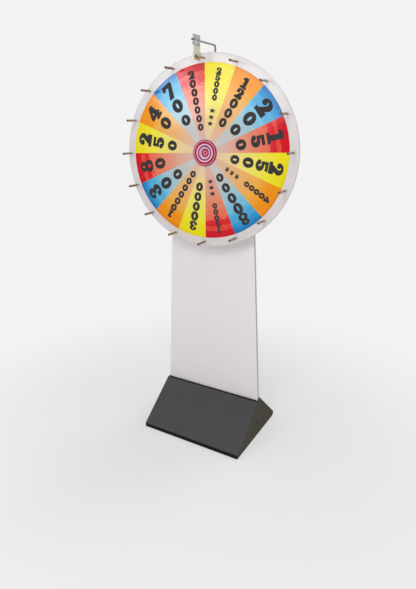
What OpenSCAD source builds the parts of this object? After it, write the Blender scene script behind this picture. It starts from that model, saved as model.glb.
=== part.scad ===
// Free-standing prize wheel: a pegged disc turns on a bearing hub, in front of a tapered board
// that stands in a weighted base of folded sheet steel. A strap on a bent rod drags on the pegs.
// X runs to the right, Y from front to back and Z up, in millimetres.
// The origin lies on the floor, under the middle of the base.

/* [Wheel] */
// Diameter of the white disc
disc_d = 800; // [700:5:900]
// Thickness of the disc
disc_t = 6; // [4:0.5:10]
// White margin between the print and the rim of the disc
print_margin = 38; // [30:0.5:60]
// Thickness of the printed sheet on the front of the disc
print_t = 0.5; // [0.3:0.1:1]
// Height of the axle above the floor
axle_h = 1255; // [1000:5:1400]

/* [Pegs] */
// Number of pegs round the wheel
peg_count = 16; // [8:4:24]
// Distance from a peg's axis to the rim of the disc
peg_edge = 21; // [14:0.5:26]
// Diameter of a peg
peg_d = 10; // [7:0.5:12]
// Length of a peg in front of the print
peg_len = 72; // [50:1:90]
// Length of the bevel at a peg's tip
peg_bevel = 1.2; // [0.4:0.1:2]
// Diameter of the stud that goes through the disc
peg_stud_d = 6; // [4:0.5:6]
// Width across the flats of a peg's nut
peg_nut_af = 10; // [9:0.5:14]
// Thickness of a peg's nut
peg_nut_t = 5; // [3:0.5:8]

/* [Hub] */
// Diameter of the hub's flange behind the disc
hub_flange_d = 120; // [114:1:160]
// Thickness of the hub's flange
hub_flange_t = 8; // [5:0.5:12]
// Wall of the hub round the bearings
hub_wall = 6; // [4:0.5:9]
// Number of screws that hold the disc to the hub
hub_screw_count = 6; // [4:1:8]
// Diameter of a hub screw
hub_screw_d = 6; // [4:0.5:7]
// Diameter of the countersunk head of a hub screw
hub_screw_head_d = 12; // [10:0.5:13]

/* [Hub cap] */
// Diameter of the cap over the hub screws
cap_d = 109; // [104:1:120]
// Height of the cap in front of the print
cap_t = 6; // [4:0.5:9]
// How far the cap laps over the print
cap_lap = 6.5; // [4:0.5:8]
// Depth of the dish in the cap's middle, behind the front of the print
dish_depth = 3; // [1:0.5:5]
// Wall of the cap
cap_wall = 2; // [1.5:0.1:3]
// Bevel of the cap's front edge
cap_bevel = 1.2; // [0.8:0.1:1.5]
// Length of the collar that pushes into the hub
collar_len = 9.6; // [9:0.2:10.4]

/* [Bearings] */
// Diameter of the axle
axle_d = 20; // [16:0.5:22]
// Outer diameter of a ball bearing
bearing_od = 42; // [40:0.5:46]
// Width of a ball bearing
bearing_w = 10.5; // [10:0.5:15]
// Distance between the two bearings
bearing_gap = 4.5; // [4:0.5:12]
// Diameter of a bearing ball
ball_d = 6.35; // [5:0.05:6.8]
// Number of balls in a bearing
ball_count = 9; // [6:1:11]
// Thickness of a bearing seal
seal_t = 0.8; // [0.5:0.1:1]
// Thickness of the retaining rings
ring_t = 1.1; // [0.8:0.1:1.4]
// Thickness of the shim behind the axle's retaining ring
shim_t = 1.3; // [1:0.1:3]

/* [Axle] */
// Thickness of the plate that bolts the axle to the board
axle_plate_t = 4; // [4:0.5:10]
// Length of the spacer between the rear bearing and the plate
plate_spacer = 8; // [8:0.5:14]
// Diameter of the four plate bolts
plate_bolt_d = 8; // [6:0.5:9]
// Thickness of the axle's rear nut
axle_nut_t = 16; // [10:1:20]
// Width across the flats of the axle's rear nut
axle_nut_af = 30; // [27:1:36]

/* [Board] */
// Distance of the board's face behind the middle of the base
board_y = 15; // [0:1:40]
// Thickness of the board with its face sheet
board_t = 15; // [12:0.5:20]
// Thickness of the face sheet
face_t = 0.5; // [0.3:0.1:1]
// Width of the board at the height of the axle
board_axle_w = 378; // [300:1:440]
// Height of the board above the axle
board_over = 300; // [240:5:320]
// Radius of the board's upper corners
board_corner_r = 40; // [10:1:80]

/* [Post] */
// Width of the tube behind the board
post_w = 50; // [44:1:60]
// Depth of the tube
post_d = 37; // [24:1:40]
// Wall of the tube
post_wall = 2; // [1.5:0.1:3]
// Length of the foot plate under the tube
foot_w = 92; // [88:1:110]
// Thickness of the foot plate
foot_t = 5; // [3:0.5:8]
// Number of screws that hold the board to the tube
post_screw_count = 4; // [2:1:6]

/* [Base] */
// Width of the base
base_w = 466; // [400:2:540]
// Depth of the base on the floor
base_d = 404; // [360:2:460]
// Height of the base
base_h = 163; // [140:1:200]
// Height of the upright lip along the front
lip_h = 17; // [12:1:30]
// How much higher the sheet behind the board is than the ledge in front of it
back_rise = 10; // [4:1:16]
// Depth of the level ledge in front of the board
ledge_d = 15; // [10:1:40]
// Thickness of the folded sheet
sheet_t = 2; // [1.5:0.1:3]
// Outer radius of the fold at the back
fold_r = 13; // [8:0.5:25]
// Thickness of the end plates
end_t = 2; // [2:0.1:4]
// Distance of an end plate inside the edge of the sheet
end_inset = 0.5; // [0.5:0.1:3]
// Height of the flange that screws to the back of the board
flange_h = 18; // [14:1:30]
// Length of the flange on each side of the tube
flange_w = 160; // [120:1:175]

/* [Base fittings] */
// Length of the legs of the angle rails that hold the board
rail_leg = 40; // [30:1:50]
// Thickness of the angle rails
rail_t = 3; // [2:0.5:5]
// Gap between an angle rail and an end plate
rail_end_gap = 14; // [5:1:40]
// Length of a ballast bar
ballast_w = 380; // [300:1:400]
// Depth of a ballast bar
ballast_d = 80; // [50:1:90]
// Thickness of a ballast bar
ballast_t = 20; // [10:1:30]
// Diameter of the studs and bolts in the base
stud_d = 6; // [5:0.5:7]
// Diameter of the tie bar between the end plates
tie_d = 12; // [10:0.5:16]
// Height of the tie bar
tie_z = 62; // [58:1:80]
// Distance of the tie bar in front of the board
tie_off = 12; // [12:1:30]

/* [Pointer] */
// Diameter of the bent rod
rod_d = 8; // [6:0.5:10]
// Height of the rod's arm above the rim of the disc
rod_over = 42; // [36:0.5:60]
// Radius of the rod's bend, at its middle
rod_bend_r = 10; // [10:1:30]
// How far the rod ends behind the front edge of the plate
rod_short = 3.5; // [0:0.5:4]
// Thickness of the plug's head on the rod's end
rod_cap_len = 2.5; // [2:0.5:6]
// Distance from the rod to the tube behind the board
rod_stand = 6.3; // [4:0.1:12]
// Width of a rod clip
clip_w = 28; // [26:1:32]
// Height of a rod clip
clip_h = 20; // [14:1:30]
// Distance of the upper clip below the top of the board
clip_drop = 40; // [30:1:60]
// Distance between the two clips
clip_pitch = 112; // [80:1:140]

/* [Clapper] */
// Width of the plate on the rod
plate_w = 56; // [54:1:70]
// How far the plate is set forwards of the strap's middle
plate_shift = 5; // [0:0.5:6]
// Height of the plate
plate_h = 38; // [34:1:50]
// Thickness of the plate
plate_t = 2; // [1.5:0.1:3]
// Width of the strap
strap_w = 55; // [40:1:60]
// Thickness of the strap
strap_t = 3; // [2:0.1:4]
// How far the strap stands out in front of the pegs
strap_proud = 8; // [0:0.5:12]
// How far the strap hangs below the axis of the top peg
strap_dip = 14; // [6:0.5:20]
// Gap between the strap and the peg it leans on
strap_gap = 0.4; // [0.3:0.1:1]
// Height of the bar that clamps the strap
bar_h = 12; // [10:0.5:13]
// Diameter of the rivets through the bar
rivet_d = 4; // [3:0.5:5]
// Distance between the two rivets
rivet_pitch = 36; // [24:1:44]
// Diameter of the screws that hold the plate to the rod
plate_screw_d = 3.5; // [3:0.5:4]
// Distance between the two plate screws
plate_screw_pitch = 32; // [20:1:44]

/* [Hidden] */

$fn = 64;

// Clearances
fit = 0.03;        // round pieces that sit in or on one another
run = 0.08;        // balls in their races
hole_gap = 0.2;    // screws in their holes
seam = 0.2;        // sheet edges beside their neighbours
side_gap = 0.5;    // the board between the end plates
turn_gap = 0.3;    // turning pieces beside still ones
cut = 1;           // how far a cut runs past a face

// Small allowances
thread_out = 1.5;  // thread that shows behind a nut
sink = 0.5;        // how far welded pieces run into one another, and how much deeper a blind hole is
ring_slack = 0.1;  // retaining rings in their grooves
cap_gap = 2;       // air between the cap's dish and the end of the axle
ring_land = 2;     // steel in front of the groove of the axle's retaining ring
step_w = 3;        // width of the hub's step between the bearings
sleeve_wall = 3;   // wall of the spacers on the axle
tool_gap = 1.5;    // room for a tool beside the post
driver_gap = 2;    // room for a driver round a screw head
plate_rim = 4;     // steel outside the heads of the plate bolts
leg_share = 0.6;   // where the holes lie along a leg or flange

// Standard proportions of fasteners
function washer_d(d) = 2 * d;
function washer_t(d) = 0.2 * d;
function nut_af(d) = 1.65 * d;
function nut_t(d) = 0.8 * d;
function head_d(d) = 1.65 * d;
function head_t(d) = 0.5 * d;

// Places along the axle, counted backwards from the front of the print
disc_front = print_t;
disc_back = disc_front + disc_t;
dish_back = dish_depth + cap_wall;
axle_front = dish_back + cap_gap;
axle_ring_at = axle_front + ring_land;
shim_at = axle_ring_at + ring_t + ring_slack;
bearing_front_at = shim_at + shim_t;
bearing_rear_at = bearing_front_at + bearing_w + bearing_gap;
bearing_end = bearing_rear_at + bearing_w;
plate_at = bearing_end + plate_spacer;
board_at = plate_at + axle_plate_t;
hub_lip = 2;
hub_back = bearing_end + hub_lip;
wheel_y = board_y - board_at;

// Bearings
axle_r = axle_d / 2;
bearing_r = bearing_od / 2;
pitch_r = (axle_r + bearing_r) / 2;
race_share = 0.32;
race_land = race_share * ball_d;
cage_share = 0.28;
cage_rim = 0.9;
hub_barrel_r = bearing_r + hub_wall;
hub_step_r = bearing_r - step_w;
sleeve_r = axle_r + sleeve_wall;
groove_depth = 0.8;

// Wheel
disc_r = disc_d / 2;
print_r = disc_r - print_margin;
peg_circle_r = disc_r - peg_edge;
print_hole_r = cap_d / 2 - cap_lap;
hub_screw_r = (hub_barrel_r + print_hole_r) / 2;
hub_screw_len = disc_t + hub_flange_t - 2 * sink;
peg_nut_at = disc_back + washer_t(peg_stud_d);
peg_stud_end = peg_nut_at + peg_nut_t + thread_out;

// Board, post and axle plate
board_back = board_y + board_t;
board_core_y = board_y + face_t;
board_base_w = base_w - 2 * (end_inset + end_t + side_gap);
board_top = axle_h + board_over;
board_slope = (board_base_w - board_axle_w) / (axle_h - base_h);
post_back = board_back + post_d;
post_drop = 10;
post_top = board_top - post_drop;
plug_len = 12;
post_bottom = sheet_t + foot_t;
plate_bolt_off = post_w / 2 + washer_d(plate_bolt_d) / 2 + tool_gap;
axle_plate_w = 2 * (plate_bolt_off + head_d(plate_bolt_d) / 2 + plate_rim);
axle_washer_t = 3;
axle_end_out = 4;
axle_end_y = post_back + axle_washer_t + axle_nut_t + axle_end_out;
post_screw_d = 5;
post_screw_bite = 12;
post_screw_rise = 60;
post_screw_low = base_h + post_screw_rise;
post_screw_drop = 120;
post_screw_high = axle_h - post_screw_drop;
post_screw_zs = [for (i = [0 : post_screw_count - 1])
    post_screw_low + i * (post_screw_high - post_screw_low) / (post_screw_count - 1)];

// Base profile in the plane of Y and Z
front_y = -base_d / 2;
slope_top_y = board_y - ledge_d;
slope_a = atan2(base_h - lip_h, slope_top_y - front_y);
fold_c = [base_d / 2 - fold_r, fold_r];
fold_steps = 28;
back_top = [board_back + seam, base_h + back_rise];
rise_a = atan2(back_rise, back_top[0] - board_y);
back_dist = norm(fold_c - back_top);
back_a = atan2(fold_c[1] - back_top[1], fold_c[0] - back_top[0]) + asin(fold_r / back_dist);
end_x = base_w / 2 - end_inset - end_t;

// Base fittings
rail_half = end_x - rail_end_gap;
foot_gap = 4;
rail_inner = foot_w / 2 + foot_gap;
rail_bolt_z = sheet_t + leg_share * rail_leg;
rail_bolt_x = (rail_inner + rail_half) / 2;
rail_stud_edge = 22;
rail_stud_out = rail_half - rail_stud_edge;
rail_stud_in = rail_inner + rail_stud_edge;
front_stud_y = board_y - leg_share * rail_leg;
back_stud_y = board_back + leg_share * rail_leg;
foot_reach = 18;
foot_d = post_d + foot_reach;
foot_stud_x = (post_w + foot_w) / 4;
foot_stud_y = board_back + post_d / 2;
ballast_shift = 8;
ballast_front_y = (front_y + sheet_t + board_y - rail_leg) / 2 + ballast_shift;
ballast_back_y = (board_back + rail_leg + fold_c[0]) / 2;
ballast_stud_share = 0.4;
ballast_stud_x = ballast_stud_share * ballast_w;
tie_y = board_y - tie_off;
tie_screw_d = 6;
tie_screw_len = 16;
hook_h = 8;
// Each entry is a stud's place on the floor of the base and the thickness that it holds
studs = concat(
    [for (x = [-rail_stud_out, rail_stud_out]) [x, front_stud_y, rail_t]],
    [for (x = [-rail_stud_out, -rail_stud_in, rail_stud_in, rail_stud_out]) [x, back_stud_y, rail_t]],
    [for (x = [-foot_stud_x, foot_stud_x]) [x, foot_stud_y, foot_t]],
    [for (x = [-ballast_stud_x, ballast_stud_x]) [x, ballast_front_y, ballast_t]],
    [for (x = [-ballast_stud_x, ballast_stud_x]) [x, ballast_back_y, ballast_t]]
);
flange_screw_d = 4;
flange_screw_bite = 10;
flange_gap = 10;
flange_inner = post_w / 2 + flange_gap;
flange_screw_shares = [0.2, 0.8];
flange_screw_xs = [for (s = [-1, 1], k = flange_screw_shares) s * (flange_inner + k * flange_w)];
flange_screw_z = back_top[1] + leg_share * flange_h;

// Pointer and clapper
strap_right = -(peg_d / 2 + strap_gap);
strap_left = strap_right - strap_t;
strap_x = (strap_left + strap_right) / 2;
strap_front = wheel_y - peg_len - strap_proud;
clapper_y = strap_front + strap_w / 2;
rod_x = strap_right - rod_d / 2;
rod_z = axle_h + disc_r + rod_over;
plate_y = clapper_y - plate_shift;
rod_front = plate_y - plate_w / 2 + rod_short;
rod_plug_d = rod_d / 2;
rod_plug_len = 5;
rod_y = post_back + rod_stand + rod_d / 2;
clip_high = board_top - clip_drop;
clip_low = clip_high - clip_pitch;
rod_below = 6;
rod_low = clip_low - clip_h / 2 - rod_below;
clip_wall = 4;
clip_back = rod_y + rod_d / 2 + clip_wall;
clip_screw_d = 4;
clip_screw_land = 2.5;
clip_screw_off = rod_d / 2 + clip_screw_d / 2 + clip_screw_land;
plate_low = rod_z - plate_h / 2;
bar_t = 2;
rivet_head_share = 1.7;
rivet_head_h = 1;
flex_z = plate_low - strap_t / 2 - turn_gap;
strap_tip_z = axle_h + peg_circle_r - strap_dip;
rivet_z = plate_low + bar_h / 2;

// Stands children up on the axle: their Z axis runs backwards from the front of the print
module at_wheel() {
    translate([0, wheel_y, axle_h]) rotate([-90, 0, 0]) children();
}

// Copies children round the axle, the first one at the top
module round_wheel(count, radius) {
    for (i = [0 : count - 1]) rotate([0, 0, i * 360 / count]) translate([0, -radius, 0]) children();
}

// Lays children's Z axis along Y from a place on it
module along_y(x, y, z) {
    translate([x, y, z]) rotate([-90, 0, 0]) children();
}

// Lays children's Z axis along X from a place on it
module along_x(x, y, z) {
    translate([x, y, z]) rotate([0, 90, 0]) children();
}

// Turns an outline in Y and Z into a slab between two places on X
module slab_x(x0, x1) {
    translate([x0, 0, 0]) rotate([90, 0, 90]) linear_extrude(x1 - x0) children();
}

module tube(r_out, r_in, length) {
    difference() {
        cylinder(r = r_out, h = length);
        translate([0, 0, -cut]) cylinder(r = r_in, h = length + 2 * cut);
    }
}

module hex_nut(af, length, bore_d) {
    difference() {
        cylinder(d = af / cos(30), h = length, $fn = 6);
        translate([0, 0, -cut]) cylinder(d = bore_d + 2 * fit, h = length + 2 * cut);
    }
}

// Pan-headed screw: the head lies below zero and the shank runs up
module pan_screw(d, length) {
    translate([0, 0, -head_t(d)]) cylinder(d = head_d(d), h = head_t(d));
    cylinder(d = d, h = length);
}

// Washer with a nut on top of it
module washer_and_nut(d) {
    tube(washer_d(d) / 2, d / 2 + fit, washer_t(d));
    translate([0, 0, washer_t(d)]) hex_nut(nut_af(d), nut_t(d), d);
}

// Outline of the base, moved inwards by a distance, except where the board's slot is filled
module base_outline(inset, slot_filled = false) {
    slope_z = lip_h + inset * tan(slope_a) - inset / cos(slope_a);
    top_z = base_h - inset;
    slope_y = front_y + inset + (top_z - slope_z) / tan(slope_a);
    corner_a = (rise_a + back_a) / 2;
    corner = inset / cos((rise_a - back_a) / 2);
    tangent_a = back_a + 90;
    round_r = fold_r - inset;
    slot = slot_filled
        ? [[board_y, top_z], [board_y, base_h], back_top, back_top - [0, inset / cos(back_a)]]
        : [[board_y + inset * tan(rise_a / 2), top_z], back_top + corner * [sin(corner_a), -cos(corner_a)]];
    fold = [for (i = [0 : fold_steps])
        let (a = tangent_a - i * (tangent_a + 90) / fold_steps) fold_c + round_r * [cos(a), sin(a)]];
    polygon(concat(
        [[front_y + inset, inset], [front_y + inset, slope_z], [slope_y, top_z]],
        slot,
        fold
    ));
}

module base_sheet() {
    difference() {
        base_outline(0);
        base_outline(sheet_t);
    }
}

// Everything in front of the board and above the lip
module cover_zone() {
    translate([front_y - cut, lip_h + seam]) square([board_y - seam - front_y + cut, base_h]);
}

// The board's slot in the top of the base and everything in front of it, above and behind the lip
module board_zone() {
    slot_back = board_back + seam;
    lip_back = front_y + sheet_t;
    translate([front_y - cut, lip_h]) square([slot_back - front_y + cut, back_top[1]]);
    translate([lip_back, lip_h - sheet_t]) square([slot_back - lip_back, back_top[1]]);
}

module base_tray() {
    color([0.16, 0.16, 0.15]) {
        difference() {
            slab_x(-base_w / 2, base_w / 2) difference() {
                base_sheet();
                board_zone();
            }
            translate([-post_w / 2 - seam, board_back, post_bottom])
                cube([post_w + 2 * seam, post_d + seam, back_top[1]]);
        }
        for (s = [-1, 1]) flange(s);
        for (p = studs)
            translate([p[0], p[1], sheet_t - sink])
                cylinder(d = stud_d, h = sink + p[2] + washer_t(stud_d) + nut_t(stud_d) + thread_out);
    }
}

// Upright flange of the tray on one side of the post
module flange(side) {
    x0 = side > 0 ? flange_inner : -flange_inner - flange_w;
    difference() {
        translate([x0, board_back + seam, back_top[1] - 2 * sheet_t])
            cube([flange_w, sheet_t, flange_h + 2 * sheet_t]);
        for (x = flange_screw_xs)
            along_y(x, board_back - cut, flange_screw_z)
                cylinder(d = flange_screw_d + 2 * hole_gap, h = sheet_t + 3 * cut);
    }
}

module base_cover() {
    hook_y = front_y + sheet_t + seam;
    inner_w = 2 * (end_x - side_gap);
    color([0.31, 0.31, 0.31]) {
        slab_x(-base_w / 2, base_w / 2) intersection() {
            base_sheet();
            cover_zone();
        }
        translate([-inner_w / 2, hook_y, lip_h - hook_h]) cube([inner_w, sheet_t, hook_h + sheet_t / 2]);
        translate([-inner_w / 2, board_y - seam - sheet_t, base_h - flange_h])
            cube([inner_w, sheet_t, flange_h - sheet_t / 2]);
    }
}

module base_end(side) {
    x0 = side > 0 ? end_x : -end_x - end_t;
    color([0.25, 0.24, 0.2])
        difference() {
            slab_x(x0, x0 + end_t) base_outline(sheet_t + seam, slot_filled = true);
            along_x(x0 - cut, tie_y, tie_z)
                cylinder(d = tie_screw_d + 2 * hole_gap, h = end_t + 2 * cut);
        }
}

module base_end_left() { base_end(-1); }

module base_end_right() { base_end(1); }

module tie_bar() {
    color([0.6, 0.6, 0.6])
        difference() {
            along_x(-end_x, tie_y, tie_z) cylinder(d = tie_d, h = 2 * end_x);
            for (x = [-end_x - cut, end_x - tie_screw_len])
                along_x(x, tie_y, tie_z)
                    cylinder(d = tie_screw_d + 2 * fit, h = tie_screw_len + cut);
        }
}

module tie_screws() {
    color([0.1, 0.1, 0.1])
        for (side = [0, 1]) mirror([side, 0, 0])
            translate([end_x + end_t, tie_y, tie_z]) rotate([0, -90, 0])
                pan_screw(tie_screw_d, end_t + tie_screw_len - driver_gap);
}

module ballast_bar(y) {
    difference() {
        translate([-ballast_w / 2, y - ballast_d / 2, sheet_t]) cube([ballast_w, ballast_d, ballast_t]);
        for (x = [-ballast_stud_x, ballast_stud_x])
            translate([x, y, 0]) cylinder(d = stud_d + 2 * hole_gap, h = sheet_t + ballast_t + cut);
    }
}

module ballast_front() { color([0.3, 0.3, 0.32]) ballast_bar(ballast_front_y); }

module ballast_back() { color([0.3, 0.3, 0.32]) ballast_bar(ballast_back_y); }

// Angle rail from one place on X to another, its upright leg at a face of the board
module socket_rail(x0, x1, face_y, side, stud_xs, stud_y) {
    leg_y = side > 0 ? face_y : face_y - rail_leg;
    wall_y = side > 0 ? face_y : face_y - rail_t;
    color([0.62, 0.63, 0.64])
        difference() {
            union() {
                translate([x0, leg_y, sheet_t]) cube([x1 - x0, rail_leg, rail_t]);
                translate([x0, wall_y, sheet_t]) cube([x1 - x0, rail_t, rail_leg]);
            }
            for (x = stud_xs)
                translate([x, stud_y, 0]) cylinder(d = stud_d + 2 * hole_gap, h = sheet_t + rail_t + cut);
            for (x = [-rail_bolt_x, rail_bolt_x])
                along_y(x, wall_y - cut, rail_bolt_z)
                    cylinder(d = stud_d + 2 * hole_gap, h = rail_t + 2 * cut);
        }
}

module socket_rail_front() {
    socket_rail(-rail_half, rail_half, board_core_y, -1, [-rail_stud_out, rail_stud_out], front_stud_y);
}

module socket_rail_left() {
    socket_rail(-rail_half, -rail_inner, board_back, 1, [-rail_stud_out, -rail_stud_in], back_stud_y);
}

module socket_rail_right() {
    socket_rail(rail_inner, rail_half, board_back, 1, [rail_stud_in, rail_stud_out], back_stud_y);
}

// Bolts through the two rails and the board, with their nuts behind
module socket_bolts() {
    grip = board_back + rail_t - board_core_y + rail_t;
    color([0.55, 0.55, 0.55])
        for (x = [-rail_bolt_x, rail_bolt_x]) {
            along_y(x, board_core_y - rail_t, rail_bolt_z)
                pan_screw(stud_d, grip + washer_t(stud_d) + nut_t(stud_d) + thread_out);
            along_y(x, board_back + rail_t, rail_bolt_z) washer_and_nut(stud_d);
        }
}

module base_nuts() {
    color([0.6, 0.6, 0.58])
        for (p = studs) translate([p[0], p[1], sheet_t + p[2]]) washer_and_nut(stud_d);
}

module flange_screws() {
    color([0.55, 0.55, 0.55])
        for (x = flange_screw_xs)
            translate([x, board_back + seam + sheet_t, flange_screw_z]) rotate([90, 0, 0])
                pan_screw(flange_screw_d, sheet_t + seam + flange_screw_bite);
}

// Front outline of the board: parallel inside the base, tapered above it, with round upper corners
module board_outline(low_z) {
    half_low = board_base_w / 2;
    half_top = half_low - (board_top - base_h) * board_slope / 2;
    lean = atan(board_slope / 2);
    corner_x = half_top - board_corner_r * (1 - sin(lean)) / cos(lean);
    corner_z = board_top - board_corner_r;
    side_x = corner_x + board_corner_r * cos(lean);
    side_z = corner_z + board_corner_r * sin(lean);
    polygon([
        [-half_low, low_z], [half_low, low_z], [half_low, base_h],
        [side_x, side_z], [corner_x, board_top], [-corner_x, board_top],
        [-side_x, side_z], [-half_low, base_h],
    ]);
    for (s = [-1, 1]) translate([s * corner_x, corner_z]) circle(r = board_corner_r);
}

// Board outline as a slab behind a place on Y
module board_slab(y, thickness, low_z) {
    translate([0, y + thickness, 0]) rotate([90, 0, 0]) linear_extrude(thickness) board_outline(low_z);
}

// Holes through the board and its face sheet for the axle and its plate bolts
module axle_holes(y, depth) {
    along_y(0, y, axle_h) cylinder(r = axle_r + hole_gap, h = depth);
    for (sx = [-1, 1], sz = [-1, 1])
        along_y(sx * plate_bolt_off, y, axle_h + sz * plate_bolt_off)
            cylinder(d = plate_bolt_d + 2 * hole_gap, h = depth);
}

module board() {
    color([0.8, 0.79, 0.78])
        difference() {
            board_slab(board_core_y, board_t - face_t, sheet_t);
            axle_holes(board_y - cut, board_t + 2 * cut);
            for (x = [-rail_bolt_x, rail_bolt_x])
                along_y(x, board_y - cut, rail_bolt_z)
                    cylinder(d = stud_d + 2 * hole_gap, h = board_t + 2 * cut);
            for (z = post_screw_zs)
                along_y(0, board_back - post_screw_bite - sink, z)
                    cylinder(d = post_screw_d + 2 * fit, h = post_screw_bite + cut);
            for (x = flange_screw_xs)
                along_y(x, board_back - flange_screw_bite - sink, flange_screw_z)
                    cylinder(d = flange_screw_d + 2 * fit, h = flange_screw_bite + cut);
        }
}

module face_sheet() {
    color([0.87, 0.85, 0.88])
        difference() {
            board_slab(board_y, face_t, base_h - flange_h / 2);
            axle_holes(board_y - cut, face_t + 2 * cut);
        }
}

module post() {
    color([0.2, 0.2, 0.2])
        difference() {
            translate([-post_w / 2, board_back, post_bottom])
                cube([post_w, post_d, post_top - post_bottom]);
            translate([-post_w / 2 + post_wall, board_back + post_wall, post_bottom - cut])
                cube([post_w - 2 * post_wall, post_d - 2 * post_wall, post_top - post_bottom + 2 * cut]);
            along_y(0, board_back - cut, axle_h) cylinder(r = axle_r + hole_gap, h = post_d + 2 * cut);
            for (z = post_screw_zs) {
                along_y(0, board_back - cut, z)
                    cylinder(d = post_screw_d + 2 * hole_gap, h = post_d / 2);
                along_y(0, board_back + post_d / 2, z)
                    cylinder(d = head_d(post_screw_d) + 2 * driver_gap, h = post_d);
            }
            for (z = [clip_low, clip_high], s = [-1, 1])
                along_y(rod_x + s * clip_screw_off, post_back - post_wall - cut, z)
                    cylinder(d = clip_screw_d + 2 * fit, h = post_wall + 2 * cut);
        }
}

module post_foot() {
    color([0.2, 0.2, 0.2])
        difference() {
            translate([-foot_w / 2, board_back, sheet_t]) cube([foot_w, foot_d, foot_t]);
            for (x = [-foot_stud_x, foot_stud_x])
                translate([x, foot_stud_y, 0])
                    cylinder(d = stud_d + 2 * hole_gap, h = sheet_t + foot_t + cut);
        }
}

// Plug in the top of the post
module post_cap() {
    rim = post_wall;
    inner_w = post_w - 2 * post_wall - 2 * hole_gap;
    inner_d = post_d - 2 * post_wall - 2 * hole_gap;
    color([0.08, 0.08, 0.08]) {
        translate([-post_w / 2, board_back, post_top]) cube([post_w, post_d, rim]);
        translate([-inner_w / 2, board_back + (post_d - inner_d) / 2, post_top - plug_len])
            cube([inner_w, inner_d, plug_len]);
    }
}

module post_screws() {
    color([0.6, 0.58, 0.5])
        for (z = post_screw_zs)
            translate([0, board_back + post_wall, z]) rotate([90, 0, 0])
                pan_screw(post_screw_d, post_wall + post_screw_bite);
}

// Stub axle with its square plate
module axle() {
    axle_len = axle_end_y - wheel_y - axle_front;
    color([0.66, 0.67, 0.68])
        difference() {
            union() {
                at_wheel() translate([0, 0, axle_front]) cylinder(r = axle_r, h = axle_len);
                translate([-axle_plate_w / 2, wheel_y + plate_at, axle_h - axle_plate_w / 2])
                    cube([axle_plate_w, axle_plate_t, axle_plate_w]);
            }
            at_wheel() translate([0, 0, axle_ring_at])
                tube(axle_r + cut, axle_r - groove_depth, ring_t + ring_slack);
            for (sx = [-1, 1], sz = [-1, 1])
                along_y(sx * plate_bolt_off, wheel_y + plate_at - cut, axle_h + sz * plate_bolt_off)
                    cylinder(d = plate_bolt_d + 2 * hole_gap, h = axle_plate_t + 2 * cut);
        }
}

module axle_washer() {
    washer_r = axle_nut_af / 2 + axle_washer_t;
    color([0.6, 0.6, 0.6]) along_y(0, post_back, axle_h) tube(washer_r, axle_r + fit, axle_washer_t);
}

module axle_nut() {
    color([0.58, 0.58, 0.56])
        along_y(0, post_back + axle_washer_t, axle_h) hex_nut(axle_nut_af, axle_nut_t, axle_d);
}

module plate_bolts() {
    grip = axle_plate_t + board_t + washer_t(plate_bolt_d) + nut_t(plate_bolt_d) + thread_out;
    color([0.6, 0.6, 0.6])
        for (sx = [-1, 1], sz = [-1, 1])
            along_y(sx * plate_bolt_off, wheel_y + plate_at, axle_h + sz * plate_bolt_off)
                pan_screw(plate_bolt_d, grip);
}

module plate_nuts() {
    color([0.6, 0.6, 0.58])
        for (sx = [-1, 1], sz = [-1, 1])
            along_y(sx * plate_bolt_off, board_back, axle_h + sz * plate_bolt_off)
                washer_and_nut(plate_bolt_d);
}

module plate_spacer_sleeve() {
    color([0.7, 0.7, 0.7])
        at_wheel() translate([0, 0, bearing_end]) tube(sleeve_r, axle_r + fit, plate_spacer);
}

module bearing_spacer() {
    color([0.7, 0.7, 0.7])
        at_wheel() translate([0, 0, bearing_front_at + bearing_w]) tube(sleeve_r, axle_r + fit, bearing_gap);
}

module axle_shim() {
    color([0.75, 0.75, 0.72]) at_wheel() translate([0, 0, shim_at]) tube(sleeve_r, axle_r + fit, shim_t);
}

// Retaining ring with a gap, from its inner to its outer radius
module retaining_ring(r_in, r_out) {
    gap_w = 0.5 * r_in;
    difference() {
        tube(r_out, r_in, ring_t);
        translate([-gap_w / 2, 0, -cut]) cube([gap_w, r_out + cut, ring_t + 2 * cut]);
    }
}

module axle_ring() {
    color([0.25, 0.25, 0.25])
        at_wheel() translate([0, 0, axle_ring_at + ring_slack / 2])
            retaining_ring(axle_r - groove_depth + fit, sleeve_r);
}

// Places children at the front face of each bearing
module each_bearing() {
    for (z = [bearing_front_at, bearing_rear_at]) at_wheel() translate([0, 0, z]) children();
}

module ball_groove() {
    translate([0, 0, bearing_w / 2]) rotate_extrude() translate([pitch_r, 0]) circle(d = ball_d + 2 * run);
}

module bearing_inner_rings() {
    color([0.78, 0.79, 0.8])
        each_bearing() difference() {
            tube(pitch_r - race_land, axle_r + fit, bearing_w);
            ball_groove();
        }
}

module bearing_outer_rings() {
    color([0.78, 0.79, 0.8])
        each_bearing() difference() {
            tube(bearing_r, pitch_r + race_land, bearing_w);
            ball_groove();
        }
}

module bearing_balls() {
    color([0.85, 0.85, 0.86])
        each_bearing() translate([0, 0, bearing_w / 2]) round_wheel(ball_count, pitch_r) sphere(d = ball_d);
}

// Cage ring with a round pocket for each ball
module bearing_cages() {
    cage_half = ball_d / 2 + cage_rim;
    cage_t = cage_share * ball_d;
    color([0.7, 0.6, 0.4])
        each_bearing() translate([0, 0, bearing_w / 2]) difference() {
            translate([0, 0, -cage_half]) tube(pitch_r + cage_t / 2, pitch_r - cage_t / 2, 2 * cage_half);
            round_wheel(ball_count, pitch_r) rotate([90, 0, 0])
                cylinder(d = ball_d + 2 * run, h = 2 * cage_t, center = true);
        }
}

module bearing_seals() {
    color([0.1, 0.1, 0.1])
        each_bearing() for (z = [0, bearing_w - seal_t])
            translate([0, 0, z]) tube(pitch_r + race_land - fit, pitch_r - race_land + turn_gap, seal_t);
}

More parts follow.
